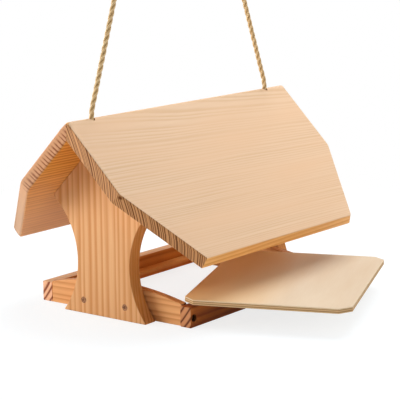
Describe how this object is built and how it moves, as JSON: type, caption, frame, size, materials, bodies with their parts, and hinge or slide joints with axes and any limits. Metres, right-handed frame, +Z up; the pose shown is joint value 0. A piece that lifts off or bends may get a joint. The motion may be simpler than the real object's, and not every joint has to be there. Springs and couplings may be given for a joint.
{
  "type": "bird table",
  "caption": "Hanging wooden bird table: a saddle roof on waisted gable boards over an open tray, with a loose plywood floor drawn out sideways.",
  "frame": {"origin": "on the ground, in the middle of the tray, below the middle of the ridge", "axes": "+X across the tray, towards the drawn-out floor; +Y along the ridge; +Z up"},
  "size_m": [0.4184, 0.42, 0.44],
  "materials": {
    "roof_larch": "planed, unvarnished, pale",
    "larch": "planed, unvarnished, warm",
    "birch_plywood": "sanded plywood with bare edges",
    "screw_steel": "dull zinc-plated steel",
    "beech": "turned dowel rod",
    "sisal": "laid three-strand natural fibre rope"
  },
  "bodies": {
    "table": {"roof_board_left": "roof_larch", "roof_board_right": "roof_larch", "gable_near": "larch", "gable_far": "larch", "end_rail_near": "larch", "end_rail_far": "larch", "side_rail_left": "larch", "side_rail_right": "larch", "ledge_strip_left": "larch", "ledge_strip_right": "larch", "gable_screws_near": "screw_steel", "gable_screws_far": "screw_steel", "rail_screws_left": "screw_steel", "rail_screws_right": "screw_steel", "ridge_dowels": "beech", "roof_dowels_near": "beech", "roof_dowels_far": "beech", "rope_near": "sisal", "rope_far": "sisal", "rope_knot_near": "sisal", "rope_knot_far": "sisal", "rope_eye_near": "sisal", "rope_eye_far": "sisal"},
    "floor": {"floor_plate": "birch_plywood"}
  },
  "joints": [
    {"name": "floor_slide", "type": "slide", "parent": "table", "child": "floor", "axis": [0.9304, 0.3665, 0], "range_m": [0, 0.12]}
  ]
}
